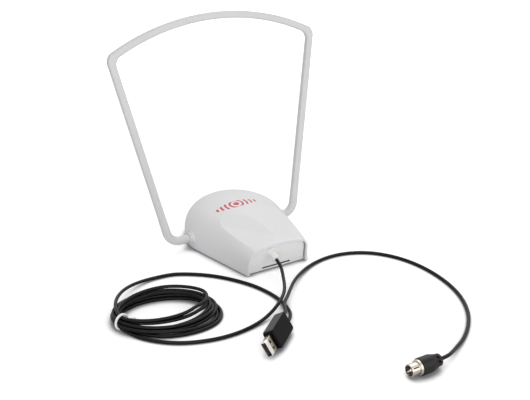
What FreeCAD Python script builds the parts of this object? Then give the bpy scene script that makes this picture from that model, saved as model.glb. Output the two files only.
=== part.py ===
import FreeCAD, Part
import math
import os

V = FreeCAD.Vector

# Indoor loop antenna, in millimetres. X runs along the loop's pivot line, -Y is the cable side,
# Z is up from the table. The origin lies on the table under the middle of the pivot line.

# Housing in plan: a round back and two straight sides that close in towards the front
BACK_R = 47.6
BACK_CENTRE_Y = 3.0
FRONT_Y = -74.5
FRONT_HALF_W = 30.4
FRONT_LEAN = 7.0
FRONT_SPARE = 16.0

# Housing in height: an arched roof along a ridge, and a shoulder that rounds more towards the back
RIM_Z = 1.0
RIDGE_FRONT_Z = 28.0
RIDGE_PEAK_Z = 37.9
RIDGE_PEAK_Y = 8.0
RIDGE_BACK_DROP = 10.0
ROOF_ARCH_R = 95.0
ROOF_ARCHES = 7
SHOULDER_FRONT_R = 7.0
SHOULDER_BACK_R = 24.0
CREASE_TIP = (0.0, -67.0, 29.7)
CREASE_SHOULDER = (32.5, -26.0, 30.2)
CREASE_CAP = (0.0, -38.9, 35.5)
CREASE_CORNER = (28.0, -74.5, 24.8)
WALL = 1.8

# Tray: base plate with the recessed front panel
TRAY_T = 1.8
TRAY_GAP = 0.25
PANEL_RECESS = 3.0
PANEL_T = 1.8
PANEL_GAP = 1.0
SLOT_W = 28.5
SLOT_H = 1.0
SLOT_RISE = 0.4
PAD_X, PAD_Y, PAD_H = 46.0, 70.0, 1.6
PAD_CENTRE_Y = -6.0
PAD_CORNER_R = 8.0
PAD_EDGE_R = 0.3
PAD_CLEAR = 0.2

# Screws that hold the tray in the shell's posts
POST_D = 7.0
POST_FRONT = (23.0, -50.0)
POST_BACK = (0.0, 39.0)
SEAT_D = 10.0
SEAT_H = 1.2
SCREW_D = 2.8
SCREW_L = 11.0
SCREW_HEAD_D = 5.6
SCREW_HEAD_H = 1.4
SCREW_CLEAR = 0.3

# Pivot: bushes in bosses on the housing's sides
PIVOT_Z = 10.8
BOSS_D = 12.0
BOSS_PROUD = 0.6
BOSS_INSIDE = 0.3
BUSH_NECK_D = 9.6
BUSH_COLLAR_D = 10.6
BUSH_COLLAR_L = 2.4
PIVOT_CLEAR = 0.05

# Loop: flat moulded bar with straight arms and an arched top, its feet turned in as round pivots
LEAN_BACK = 9.1
SIDE_PLAY = 3.8
ARM_SPLAY = 11.25
ARM_TOP_V = 171.0
ARCH_TOP_V = 195.8
BAR_W = 6.5
BAR_D = 6.0
BAR_EDGE_R = 1.7
CORNER_OUT_R = 9.0
CORNER_IN_R = 8.0
STUB_D = 7.8
BEND_R = 12.6
BEND_CLEAR = 0.75
SOCKET_V = 13.0
SOCKET_L = 12.0
STUB_TAIL = 2.0
CLIP_T = 1.0
CLIP_D = 11.4
CLIP_GROOVE_D = 6.2
CLIP_GAP = 0.2
CLIP_MOUTH = 4.6
PIN_D = 3.0
PIN_SEAT = 8.0
PIN_REACH = 1.2

# Amplifier board and what stands on it
BOARD_LIFT = 2.2
BOARD_T = 1.6
BOARD_FRONT_Y = -38.0
BOARD_BACK_Y = 8.0
BOARD_STUB_GAP = 1.2
STANDOFF_D = 6.0
STANDOFF_INSET = 6.0
RIB_T = 2.0
RIB_HALF_W = 18.0
BOARD_SCREW_D = 2.2
BOARD_SCREW_L = 4.2
BOARD_SCREW_HEAD_D = 4.6
BOARD_SCREW_HEAD_H = 1.5
CAN_X, CAN_Y, CAN_H, CAN_T = 26.0, 17.0, 7.5, 0.4
CAN_CENTRE_Y = -20.0
CORE_X, CORE_Y, CORE_H, CORE_HOLE_D = 10.0, 7.0, 5.0, 2.4
CAP_D, CAP_H = 6.3, 7.0
CAP_GAP = 2.4
STRIP_T = 0.4
STRIP_W = 4.0
TONGUE_L = 4.0
STRIP_RISE_L = 4.0
STRIP_FOOT_L = 5.0
CONTACT_GAP = 0.1

# Cable and its gland in the front panel
CORD_D = 2.9
CORD_REACH = 0.45
GLAND_X = -6.4
GLAND_Z = 18.2
GLAND_NECK_D = 6.6
GLAND_CLEAR = 0.05
GLAND_FLANGE_D = 9.0
GLAND_FLANGE_T = 1.3
GLAND_NUT_T = 1.5
GLAND_ROOT_D = 7.6
GLAND_TIP_D = 6.0
GLAND_L = 9.4
GLAND_DROOP = 14.0
EXIT_RUN = 7.5
LEAD_LAP = 1.0

# Coil of cable and its tie
COIL_X, COIL_Y = -118.5, -96.0
COIL_A, COIL_B = 45.5, 33.5
COIL_TURN = -20.0
COIL_RING = 12.0
COIL_H = 12.0
COIL_EDGE_R = 3.0
TIE_W = 2.0
TIE_T = 1.2
TIE_CLEAR = 0.1
TIE_ANGLE = 208.0

# USB power block: it lies rolled on its lower edge
USB_PLACE = (-59.13, -171.7)
USB_HEADING = 50.0
USB_ROLL = 59.0
USB_CASE_L, USB_CASE_W, USB_CASE_H = 30.2, 16.6, 9.2
USB_CASE_CORNER_R = 2.6
USB_CASE_EDGE_R = 1.3
USB_CASE_WALL = 1.3
USB_CABLE_PITCH = 6.5
USB_PLUG_W, USB_PLUG_H, USB_PLUG_T = 12.0, 4.5, 0.35
USB_PLUG_OUT, USB_PLUG_IN = 11.9, 4.0
USB_PLUG_CORNER_R = 0.7
USB_WINDOW = 2.3
USB_WINDOW_PITCH = 5.3
USB_WINDOW_BACK = 6.2
USB_TONGUE_H = 1.8
USB_TONGUE_BACK = 0.8
USB_CONTACT_W, USB_CONTACT_T, USB_CONTACT_PITCH, USB_CONTACT_L = 1.1, 0.25, 2.3, 8.0
USB_BOARD_T = 1.0
USB_BOARD_GAP = 0.2
USB_RAIL_W = 1.2

# TV plug: 9.5 mm sleeve with a centre pin, lying on its side and pointing along -X
PLUG_FRONT_X, PLUG_Y = -4.8, -260.3
PLUG_BODY_D, PLUG_BODY_L = 13.3, 19.5
PLUG_GRIP_L, PLUG_TAIL_D, PLUG_TAIL_L = 7.0, 9.4, 2.4
PLUG_GRIP_COUNT, PLUG_GRIP_DEPTH, PLUG_GRIP_D, PLUG_FLUTE_L = 8, 0.9, 4.0, 5.6
PLUG_CHAMFER = 0.7
PLUG_COLLAR_D, PLUG_COLLAR_L = 12.0, 1.6
PLUG_SLEEVE_D, PLUG_SLEEVE_T, PLUG_SLEEVE_L = 9.5, 0.5, 8.7
PLUG_SLIT_W, PLUG_SLIT_L, PLUG_SLIT_BACK, PLUG_SLIT_TURN = 0.9, 5.0, 0.9, 45.0
PLUG_INSULATOR_L = 3.0
PLUG_PIN_D, PLUG_PIN_SHORT = 2.4, 0.6
TABLE_CLEAR = 0.05

# Places that follow from the sizes above
TRAY_TOP = RIM_Z + TRAY_T
SEAT_TOP = TRAY_TOP + SEAT_H
BOARD_Z = TRAY_TOP + BOARD_LIFT
BOARD_TOP = BOARD_Z + BOARD_T
BOSS_OUT_X = BACK_R + BOSS_PROUD
STUB_BORE_D = STUB_D + 2 * PIVOT_CLEAR
COIL_Z = TIE_T + TIE_CLEAR
POSTS = [(-POST_FRONT[0], POST_FRONT[1]), POST_FRONT, POST_BACK]


def rod(diameter, start, end):
    """Cylinder from one point to another."""
    return Part.makeCylinder(diameter / 2, (end - start).Length, start, end - start)


def polygon(points):
    """Flat face through the points."""
    return Part.Face(Part.makePolygon(points + points[:1]))


def block(x0, x1, y0, y1, z0, z1):
    """Box between two corners."""
    return Part.makeBox(x1 - x0, y1 - y0, z1 - z0, V(x0, y0, z0))


def bar(length, width, height, corner_r):
    """Upright-edged bar about the Z axis, standing on Z = 0, with round corners."""
    body = block(-length / 2, length / 2, -width / 2, width / 2, 0, height)
    upright = [e for e in body.Edges if e.BoundBox.ZLength > height / 2 and e.BoundBox.XLength < 1e-6]
    upright = [e for e in upright if e.BoundBox.YLength < 1e-6]
    return body.makeFillet(corner_r, upright)


def turned(outline):
    """Solid of revolution about Z from (height, radius) points."""
    points = [V(0, 0, outline[0][0])] + [V(r, 0, z) for z, r in outline] + [V(0, 0, outline[-1][0])]
    return polygon(points).revolve(V(0, 0, 0), V(0, 0, 1), 360)


# Housing form

TAPER = math.asin(BACK_R / math.hypot(FRONT_HALF_W, BACK_CENTRE_Y - FRONT_Y)) - math.atan2(
    FRONT_HALF_W, BACK_CENTRE_Y - FRONT_Y)


def ridge_z(y):
    """Height of the roof's ridge: it climbs from the front to its peak and falls off behind."""
    end_y = BACK_CENTRE_Y + BACK_R
    drop = RIDGE_BACK_DROP
    if y < RIDGE_PEAK_Y:
        end_y = FRONT_Y
        drop = RIDGE_PEAK_Z - RIDGE_FRONT_Z
    return RIDGE_PEAK_Z - drop * ((y - RIDGE_PEAK_Y) / (end_y - RIDGE_PEAK_Y)) ** 2


def roof_cutter(inset):
    """Everything above the arched roof, drawn in by inset."""
    radius = ROOF_ARCH_R - inset
    reach = BACK_R + FRONT_SPARE
    drop = radius - math.sqrt(radius ** 2 - reach ** 2)
    first_y = FRONT_Y - 2 * FRONT_SPARE
    last_y = BACK_CENTRE_Y + BACK_R + FRONT_SPARE
    arcs = []
    for i in range(ROOF_ARCHES):
        y = first_y + i * (last_y - first_y) / (ROOF_ARCHES - 1)
        z = ridge_z(y) - inset
        arc = Part.Arc(V(-reach, y, z - drop), V(0, y, z), V(reach, y, z - drop))
        arcs.append(Part.Wire([arc.toShape()]))
    return Part.makeLoft(arcs, False, False).extrude(V(0, 0, 2 * RIDGE_PEAK_Z))


def crease_cutter(inset):
    """Shallow valley on the right between the roof's dome and the flatter shelf beside the front corner."""
    tip = V(*CREASE_TIP)
    along = V(*CREASE_SHOULDER) - tip
    outline = [tip]
    for point, way in ((CREASE_CAP, 1), (CREASE_CORNER, -1)):
        normal = along.cross(V(*point) - tip)
        slope = V(-along.y * way, along.x * way, 0)
        slope.z = -normal.dot(slope) / normal.z
        outline.insert(way, tip + slope)
    lift = V(0, 0, RIDGE_PEAK_Z)
    outline = [outline[0], outline[1], outline[1] + lift, outline[2] + lift, outline[2]]
    wedge = polygon(outline).extrude(along * 2)
    wedge.translate(along * -0.5 - V(0, 0, inset))
    return wedge


def housing_form(inset, foot_z):
    """Closed form of the housing, drawn in by inset, running on past the front opening."""
    r = BACK_R - inset
    back = V(0, BACK_CENTRE_Y + r, foot_z)
    side = V(r * math.cos(TAPER), BACK_CENTRE_Y - r * math.sin(TAPER), foot_z)
    between = V(r * math.sqrt(0.5), BACK_CENTRE_Y + r * math.sqrt(0.5), foot_z)
    front_y = FRONT_Y - FRONT_SPARE
    front = V(side.x - (side.y - front_y) * math.tan(TAPER), front_y, foot_z)
    middle = V(0, front_y, foot_z)
    plan = Part.Wire([
        Part.Arc(back, between, side).toShape(),
        Part.LineSegment(side, front).toShape(),
        Part.LineSegment(front, middle).toShape(),
        Part.LineSegment(middle, back).toShape(),
    ])
    half = Part.Face(plan).extrude(V(0, 0, 2 * RIDGE_PEAK_Z)).cut(roof_cutter(inset)).Solids[0]
    shoulder = [e for e in half.Edges if e.BoundBox.YMin < FRONT_Y and e.BoundBox.YLength > FRONT_SPARE * 2
                and e.BoundBox.ZMin > foot_z + WALL and e.BoundBox.XMax > r / 2]
    half = half.makeFillet(SHOULDER_FRONT_R - inset, SHOULDER_BACK_R - inset, shoulder)
    half = half.cut(crease_cutter(inset))
    return half.fuse(half.mirror(V(0, 0, 0), V(1, 0, 0))).removeSplitter()


def ahead_of_front(recess):
    """Everything ahead of the forward-leaning front plane, moved back by recess."""
    size = 6 * BACK_R
    space = block(-size / 2, size / 2, recess - size, recess, -size / 2, size / 2)
    space.rotate(V(0, 0, 0), V(1, 0, 0), FRONT_LEAN)
    space.translate(V(0, FRONT_Y, RIM_Z))
    return space


def panel_y(recess, z):
    """Y of the leaning plane at a height."""
    lean = math.radians(FRONT_LEAN)
    return FRONT_Y + recess / math.cos(lean) - (z - RIM_Z) * math.tan(lean)


INNER_FORM = housing_form(WALL, RIM_Z - WALL)


def inner_half_width(y, z):
    """Distance from the middle plane to the housing's inner face."""
    return INNER_FORM.common(Part.makeLine(V(0, y, z), V(2 * BACK_R, y, z))).BoundBox.XMax


# The loop's clips run inside the narrowest place round the pivot, the board between the loop's feet
CLIP_RIM = [(CLIP_D / 2 * math.cos(math.radians(turn)), PIVOT_Z + CLIP_D / 2 * math.sin(math.radians(turn)))
            for turn in range(0, 360, 45)]
BOSS_IN_X = min(inner_half_width(y, z) for y, z in CLIP_RIM) - BOSS_INSIDE
CLIP_U = BOSS_IN_X - SIDE_PLAY - CLIP_GAP
STUB_END_U = CLIP_U - CLIP_T - STUB_TAIL
BOARD_HALF_W = STUB_END_U - SIDE_PLAY - BOARD_STUB_GAP
PIN_END_U = BOARD_HALF_W - TONGUE_L - SIDE_PLAY - PIN_REACH
STANDOFF_X = BOARD_HALF_W - STANDOFF_INSET
STANDOFF_Y = BOARD_FRONT_Y + STANDOFF_INSET
STANDOFFS = [(-STANDOFF_X, STANDOFF_Y), (STANDOFF_X, STANDOFF_Y)]


def make_top_shell():
    outer = housing_form(0, RIM_Z)
    shell = outer.cut(INNER_FORM)
    for side in (-1, 1):
        shell = shell.fuse(rod(BOSS_D, V(side * BOSS_IN_X, 0, PIVOT_Z), V(side * BOSS_OUT_X, 0, PIVOT_Z)))
    for x, y in POSTS:
        shell = shell.fuse(rod(POST_D, V(x, y, SEAT_TOP), V(x, y, RIDGE_PEAK_Z)).common(outer))
    shell = shell.cut(rod(BUSH_NECK_D, V(-2 * BACK_R, 0, PIVOT_Z), V(2 * BACK_R, 0, PIVOT_Z)))
    for x, y in POSTS:
        shell = shell.cut(rod(SCREW_D, V(x, y, RIM_Z), V(x, y, SEAT_TOP + SCREW_L)))
    return shell.cut(ahead_of_front(0)).removeSplitter()


def make_bottom_tray():
    floor = block(-BACK_R, BACK_R, 2 * FRONT_Y, 2 * BACK_R, RIM_Z, TRAY_TOP)
    plate = housing_form(WALL + TRAY_GAP, RIM_Z).common(floor).cut(ahead_of_front(PANEL_RECESS))
    panel = housing_form(WALL + PANEL_GAP, RIM_Z).cut(ahead_of_front(PANEL_RECESS))
    panel = panel.common(ahead_of_front(PANEL_RECESS + PANEL_T))
    tray = plate.fuse(panel)
    for x, y in POSTS:
        tray = tray.fuse(rod(SEAT_D, V(x, y, RIM_Z), V(x, y, SEAT_TOP)))
    for x, y in STANDOFFS:
        tray = tray.fuse(rod(STANDOFF_D, V(x, y, RIM_Z), V(x, y, BOARD_Z)))
    tray = tray.fuse(block(-RIB_HALF_W, RIB_HALF_W, BOARD_BACK_Y - RIB_T, BOARD_BACK_Y, RIM_Z, BOARD_Z))
    head_top = SEAT_TOP - SCREW_HEAD_H
    for x, y in POSTS:
        tray = tray.cut(rod(SCREW_D + SCREW_CLEAR, V(x, y, 0), V(x, y, SEAT_TOP)))
        tray = tray.cut(rod(SCREW_HEAD_D + SCREW_CLEAR, V(x, y, 0), V(x, y, head_top)))
    for x, y in STANDOFFS:
        tray = tray.cut(rod(BOARD_SCREW_D, V(x, y, BOARD_TOP - BOARD_SCREW_L), V(x, y, BOARD_Z)))
    recess = bar(PAD_X + 2 * PAD_CLEAR, PAD_Y + 2 * PAD_CLEAR, PAD_H, PAD_CORNER_R + PAD_CLEAR)
    recess.translate(V(0, PAD_CENTRE_Y, 0))
    tray = tray.cut(recess)
    slot_z = TRAY_TOP + SLOT_RISE
    slot_y = panel_y(PANEL_RECESS, slot_z)
    slot = block(-SLOT_W / 2, SLOT_W / 2, slot_y - PANEL_T, slot_y + 2 * PANEL_T, slot_z, slot_z + SLOT_H)
    tray = tray.cut(slot)
    hole = Part.makeCylinder(GLAND_NECK_D / 2 + GLAND_CLEAR, 2 * PANEL_T, V(0, 0, -1.5 * PANEL_T))
    hole.Placement = GLAND_FRAME
    return tray.cut(hole).removeSplitter()


def make_rubber_pad():
    """Flat anti-slip pad: its underside is the face that the antenna stands on."""
    pad = bar(PAD_X, PAD_Y, PAD_H, PAD_CORNER_R)
    pad = pad.makeFillet(PAD_EDGE_R, [e for e in pad.Edges if e.BoundBox.ZMax < PAD_H / 2])
    pad.translate(V(0, PAD_CENTRE_Y, 0))
    return pad


def make_tray_screws():
    screws = []
    head_top = SEAT_TOP - SCREW_HEAD_H
    for x, y in POSTS:
        head = rod(SCREW_HEAD_D, V(x, y, head_top - SCREW_HEAD_H), V(x, y, head_top))
        shank = rod(SCREW_D, V(x, y, head_top), V(x, y, SEAT_TOP + SCREW_L))
        screws.append(head.fuse(shank).removeSplitter())
    return Part.makeCompound(screws)


# Pivot bushes and the loop

def make_pivot_bush(side):
    inner = V(side * BOSS_IN_X, 0, PIVOT_Z)
    seat = V(side * BOSS_OUT_X, 0, PIVOT_Z)
    outer = V(side * (BOSS_OUT_X + BUSH_COLLAR_L), 0, PIVOT_Z)
    collar = rod(BUSH_COLLAR_D, seat, outer)
    rim = [e for e in collar.Edges if e.BoundBox.XLength < 1e-6 and abs(e.BoundBox.XMin - outer.x) < 1e-6]
    collar = collar.makeFillet(BUSH_COLLAR_L / 5, rim)
    bush = rod(BUSH_NECK_D, inner, seat).fuse(collar)
    return bush.cut(rod(STUB_BORE_D, V(0, 0, PIVOT_Z), outer * 2 - V(0, 0, PIVOT_Z))).removeSplitter()


BEND_TURN = 90 - ARM_SPLAY
BEND_REACH = BEND_R * math.tan(math.radians(BEND_TURN) / 2)
ARM_FOOT_U = BOSS_OUT_X + BUSH_COLLAR_L + BEND_CLEAR + SIDE_PLAY + BEND_REACH
ARM_TOP_U = ARM_FOOT_U + ARM_TOP_V * math.tan(math.radians(ARM_SPLAY))
ARCH_R = (ARM_TOP_U ** 2 + (ARCH_TOP_V - ARM_TOP_V) ** 2) / (2 * (ARCH_TOP_V - ARM_TOP_V))
ARCH_CENTRE = V(0, 0, ARCH_TOP_V - ARCH_R)
ARM_FOOT = V(ARM_FOOT_U, 0, 0)
ARM_ALONG = (V(ARM_TOP_U, 0, ARM_TOP_V) - ARM_FOOT).normalize()
ARM_OUT = V(ARM_ALONG.z, 0, -ARM_ALONG.x)


def flipped(point):
    """The same point on the loop's left half."""
    return V(-point.x, point.y, point.z)


def bar_corner(offset, corner_r):
    """Round corner of the bar at an offset from its middle line: arm end, middle, arch end."""
    line_start = ARM_FOOT + ARM_OUT * (offset - corner_r) - ARCH_CENTRE
    reach = ARCH_R + offset - corner_r
    b = line_start.dot(ARM_ALONG)
    along = -b + math.sqrt(b ** 2 - line_start.dot(line_start) + reach ** 2)
    centre = ARCH_CENTRE + line_start + ARM_ALONG * along
    arch_out = (centre - ARCH_CENTRE).normalize()
    halfway = (ARM_OUT + arch_out).normalize()
    return centre + ARM_OUT * corner_r, centre + halfway * corner_r, centre + arch_out * corner_r


def bar_edges(offset, corner_r):
    """Outline of the bar from the right arm over the arch to the left arm."""
    foot = ARM_FOOT + ARM_ALONG * (SOCKET_V + SOCKET_L) + ARM_OUT * offset
    low, mid, high = bar_corner(offset, corner_r)
    top = ARCH_CENTRE + V(0, 0, ARCH_R + offset)
    edges = [
        Part.LineSegment(foot, low).toShape(),
        Part.Arc(low, mid, high).toShape(),
        Part.Arc(high, top, flipped(high)).toShape(),
        Part.Arc(flipped(high), flipped(mid), flipped(low)).toShape(),
        Part.LineSegment(flipped(low), flipped(foot)).toShape(),
    ]
    return foot, edges


def make_foot_half():
    """Right foot of the loop: the bar goes over into a round tube, turns in and ends as the pivot."""
    socket = ARM_FOOT + ARM_ALONG * SOCKET_V
    bar_end = socket + ARM_ALONG * SOCKET_L
    section = bar(BAR_W, BAR_D, 1, BAR_EDGE_R).Faces
    section = [f for f in section if f.BoundBox.ZMax < 1e-6][0].OuterWire
    section.Placement = FreeCAD.Placement(bar_end, FreeCAD.Rotation(ARM_OUT, V(0, 1, 0), ARM_ALONG, "ZXY"))
    ring = Part.Wire([Part.Circle(socket, ARM_ALONG, STUB_D / 2).toShape()])
    blend = Part.makeLoft([ring, section], True, False)
    arm_side = ARM_FOOT + ARM_ALONG * BEND_REACH
    centre = arm_side - ARM_OUT * BEND_R
    disc = Part.Face(Part.Wire([Part.Circle(arm_side, ARM_ALONG, STUB_D / 2).toShape()]))
    bend = disc.revolve(centre, V(0, 1, 0), BEND_TURN)
    straight = rod(STUB_D, arm_side, socket)
    stub = rod(STUB_D, V(STUB_END_U, 0, 0), V(ARM_FOOT_U - BEND_REACH, 0, 0))
    groove = rod(2 * STUB_D, V(CLIP_U - CLIP_T, 0, 0), V(CLIP_U, 0, 0))
    stub = stub.cut(groove.cut(rod(CLIP_GROOVE_D, V(0, 0, 0), V(2 * CLIP_U, 0, 0))))
    stub = stub.cut(rod(PIN_D, V(0, 0, 0), V(STUB_END_U + PIN_SEAT, 0, 0)))
    return blend.fuse([straight, bend, stub])


def hang_loop(shape):
    """Lean the upright loop back about its pivot line and set it in the housing's bushes."""
    shape.rotate(V(0, 0, 0), V(1, 0, 0), -LEAN_BACK)
    shape.translate(V(-SIDE_PLAY, 0, PIVOT_Z))
    return shape


def make_loop_frame():
    outer_foot, outer = bar_edges(BAR_W / 2, CORNER_OUT_R)
    inner_foot, inner = bar_edges(-BAR_W / 2, CORNER_IN_R)
    ends = [Part.LineSegment(outer_foot, inner_foot).toShape(),
            Part.LineSegment(flipped(outer_foot), flipped(inner_foot)).toShape()]
    outline = Part.Wire(Part.__sortEdges__(outer + inner + ends))
    arch = Part.Face(outline).extrude(V(0, BAR_D, 0))
    arch.translate(V(0, -BAR_D / 2, 0))
    long_edges = [e for e in arch.Edges if e.BoundBox.YLength < 1e-6 and e.Length > 1.01 * BAR_W]
    arch = arch.makeFillet(BAR_EDGE_R, long_edges)
    foot = make_foot_half()
    loop = arch.fuse([foot, foot.mirror(V(0, 0, 0), V(1, 0, 0))]).removeSplitter()
    return hang_loop(loop)


def make_pivot_pin(side):
    return hang_loop(rod(PIN_D, V(side * PIN_END_U, 0, 0), V(side * (STUB_END_U + PIN_SEAT), 0, 0)))


def make_retaining_clips():
    clips = []
    for side in (-1, 1):
        inner = V(side * (CLIP_U - CLIP_T), 0, 0)
        outer = V(side * CLIP_U, 0, 0)
        clip = rod(CLIP_D, inner, outer).cut(rod(CLIP_GROOVE_D, inner, outer))
        mouth = block(-2 * CLIP_U, 2 * CLIP_U, 0, CLIP_D, -CLIP_MOUTH / 2, CLIP_MOUTH / 2)
        clips.append(hang_loop(clip.cut(mouth)))
    return Part.makeCompound(clips)


# Amplifier board

def make_amplifier_board():
    board = block(-BOARD_HALF_W, BOARD_HALF_W, BOARD_FRONT_Y, BOARD_BACK_Y, BOARD_Z, BOARD_TOP)
    for x, y in STANDOFFS:
        board = board.cut(rod(BOARD_SCREW_D, V(x, y, BOARD_Z), V(x, y, BOARD_TOP)))
    return board


def make_board_screws():
    screws = []
    for x, y in STANDOFFS:
        head = rod(BOARD_SCREW_HEAD_D, V(x, y, BOARD_TOP), V(x, y, BOARD_TOP + BOARD_SCREW_HEAD_H))
        shank = rod(BOARD_SCREW_D, V(x, y, BOARD_TOP - BOARD_SCREW_L), V(x, y, BOARD_TOP))
        screws.append(head.fuse(shank).removeSplitter())
    return Part.makeCompound(screws)


def make_shield_can():
    can = bar(CAN_X, CAN_Y, CAN_H, 3 * CAN_T)
    can = can.cut(bar(CAN_X - 2 * CAN_T, CAN_Y - 2 * CAN_T, CAN_H - CAN_T, 2 * CAN_T))
    can.translate(V(0, CAN_CENTRE_Y, BOARD_TOP))
    return can


def make_balun_core():
    core = bar(CORE_X, CORE_Y, CORE_H, CORE_Y / 4)
    for side in (-1, 1):
        x = side * CORE_X / 4
        core = core.cut(rod(CORE_HOLE_D, V(x, -CORE_Y, CORE_H / 2), V(x, CORE_Y, CORE_H / 2)))
    core.translate(V(0, 0, BOARD_TOP))
    return core


def make_supply_capacitor():
    x, y = CAN_X / 2 + CAP_GAP + CAP_D / 2, CAN_CENTRE_Y
    can = rod(CAP_D, V(x, y, BOARD_TOP), V(x, y, BOARD_TOP + CAP_H))
    rim = [e for e in can.Edges if e.BoundBox.ZMin > BOARD_TOP + CAP_H / 2]
    return can.makeFillet(CAP_D / 10, rim)


def make_contact(side):
    """Folded spring strip: soldered foot, rise, and a tongue under the loop's pin."""
    tongue_top = PIVOT_Z - PIN_D / 2 - CONTACT_GAP
    tip = BOARD_HALF_W
    bend = tip - TONGUE_L
    rise = bend - STRIP_RISE_L
    foot = rise - STRIP_FOOT_L
    foot_top = BOARD_TOP + STRIP_T
    tongue_foot = tongue_top - STRIP_T
    points = [(foot, BOARD_TOP), (rise, BOARD_TOP), (bend, tongue_foot), (tip, tongue_foot),
              (tip, tongue_top), (bend, tongue_top), (rise, foot_top), (foot, foot_top)]
    return polygon([V(side * x, -STRIP_W / 2, z) for x, z in points]).extrude(V(0, STRIP_W, 0))


# Cable gland, in a frame whose Z leaves the panel's outer face and whose Y points up the panel

GLAND_FRAME = FreeCAD.Placement(V(GLAND_X, panel_y(PANEL_RECESS, GLAND_Z), GLAND_Z),
                                FreeCAD.Rotation(V(1, 0, 0), 90 + FRONT_LEAN))
GLAND_DROOP_WAY = V(0, -math.sin(math.radians(GLAND_DROOP)), math.cos(math.radians(GLAND_DROOP)))
GLAND_TIP = GLAND_FRAME.multVec(GLAND_DROOP_WAY * GLAND_L)
GLAND_AHEAD = GLAND_FRAME.multVec(GLAND_DROOP_WAY * (GLAND_L + EXIT_RUN))
GLAND_BACK = GLAND_FRAME.multVec(V(0, 0, -PANEL_T - GLAND_NUT_T))
GLAND_BEHIND = GLAND_FRAME.multVec(V(0, 0, -PANEL_T - GLAND_NUT_T - EXIT_RUN))


def make_cable_gland():
    flange = Part.makeCylinder(GLAND_FLANGE_D / 2, GLAND_FLANGE_T)
    neck = Part.makeCylinder(GLAND_NECK_D / 2, PANEL_T, V(0, 0, -PANEL_T))
    nut = Part.makeCylinder(GLAND_FLANGE_D / 2, GLAND_NUT_T, V(0, 0, -PANEL_T - GLAND_NUT_T))
    root = Part.Wire([Part.Circle(V(0, 0, GLAND_FLANGE_T), V(0, 0, 1), GLAND_ROOT_D / 2).toShape()])
    tip = Part.Wire([Part.Circle(GLAND_DROOP_WAY * GLAND_L, GLAND_DROOP_WAY, GLAND_TIP_D / 2).toShape()])
    cone = Part.makeLoft([root, tip], True, False)
    gland = flange.fuse([neck, nut, cone]).removeSplitter()
    gland.Placement = GLAND_FRAME
    return gland


# USB power block, in a frame with X towards the plug's mouth, Y across and Z out of the upper face

USB_AHEAD = V(-math.sin(math.radians(USB_HEADING)), -math.cos(math.radians(USB_HEADING)), 0)
USB_ACROSS = V(math.cos(math.radians(USB_HEADING)), -math.sin(math.radians(USB_HEADING)), 0) * math.cos(
    math.radians(USB_ROLL)) - V(0, 0, 1) * math.sin(math.radians(USB_ROLL))
USB_HALF_RISE = ((USB_CASE_W / 2 - USB_CASE_EDGE_R) * math.sin(math.radians(USB_ROLL))
                 + (USB_CASE_H / 2 - USB_CASE_EDGE_R) * math.cos(math.radians(USB_ROLL)) + USB_CASE_EDGE_R)
USB_FRAME = FreeCAD.Placement(V(USB_PLACE[0], USB_PLACE[1], USB_HALF_RISE + TABLE_CLEAR),
                              FreeCAD.Rotation(USB_AHEAD, USB_ACROSS, USB_AHEAD.cross(USB_ACROSS), "XYZ"))
USB_TAIL_ENTRY = USB_FRAME.multVec(V(-USB_CASE_L / 2, USB_CABLE_PITCH / 2, 0))
USB_LEAD_ENTRY = USB_FRAME.multVec(V(-USB_CASE_L / 2, -USB_CABLE_PITCH / 2, 0))
USB_TAIL_AHEAD = USB_TAIL_ENTRY - USB_AHEAD * EXIT_RUN
USB_LEAD_AHEAD = USB_LEAD_ENTRY - USB_AHEAD * EXIT_RUN
USB_BOARD_Z = -USB_PLUG_H / 2


def in_usb_frame(shape):
    shape.Placement = USB_FRAME.multiply(shape.Placement)
    return shape


def make_usb_case(side):
    """One half of the case, open towards the parting plane at Z = 0."""
    half = bar(USB_CASE_L, USB_CASE_W, USB_CASE_H / 2, USB_CASE_CORNER_R)
    edges = [e for e in half.Edges if e.BoundBox.ZMin > USB_CASE_H / 2 - 1e-6]
    half = half.makeFillet(USB_CASE_EDGE_R, edges)
    room_l, room_w = USB_CASE_L - 2 * USB_CASE_WALL, USB_CASE_W - 2 * USB_CASE_WALL
    half = half.cut(bar(room_l, room_w, USB_CASE_H / 2 - USB_CASE_WALL, USB_CASE_CORNER_R - USB_CASE_WALL))
    mouth = block(0, USB_CASE_L, -USB_PLUG_W / 2, USB_PLUG_W / 2, -USB_PLUG_H / 2, USB_PLUG_H / 2)
    half = half.cut(mouth)
    if side < 0:
        rail_top = USB_CASE_H / 2 - USB_CASE_WALL
        rail_foot = -USB_BOARD_Z + USB_BOARD_T
        rear = -room_l / 2
        front = USB_CASE_L / 2 - USB_PLUG_IN
        for edge in (-1, 1):
            wall_y = edge * room_w / 2
            rail_y = edge * (room_w / 2 - USB_RAIL_W)
            low_y, high_y = min(wall_y, rail_y), max(wall_y, rail_y)
            half = half.fuse(block(rear, front, low_y, high_y, rail_foot, rail_top))
        half = half.removeSplitter()
        half.rotate(V(0, 0, 0), V(1, 0, 0), 180)
    return in_usb_frame(half)


def plug_tube(grow):
    """Outer or inner form of the metal USB tube, along X."""
    length = USB_PLUG_IN + USB_PLUG_OUT
    tube = bar(USB_PLUG_H + 2 * grow, USB_PLUG_W + 2 * grow, length, USB_PLUG_CORNER_R + grow)
    tube.rotate(V(0, 0, 0), V(0, 1, 0), 90)
    tube.translate(V(USB_CASE_L / 2 - USB_PLUG_IN, 0, 0))
    return tube


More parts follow.
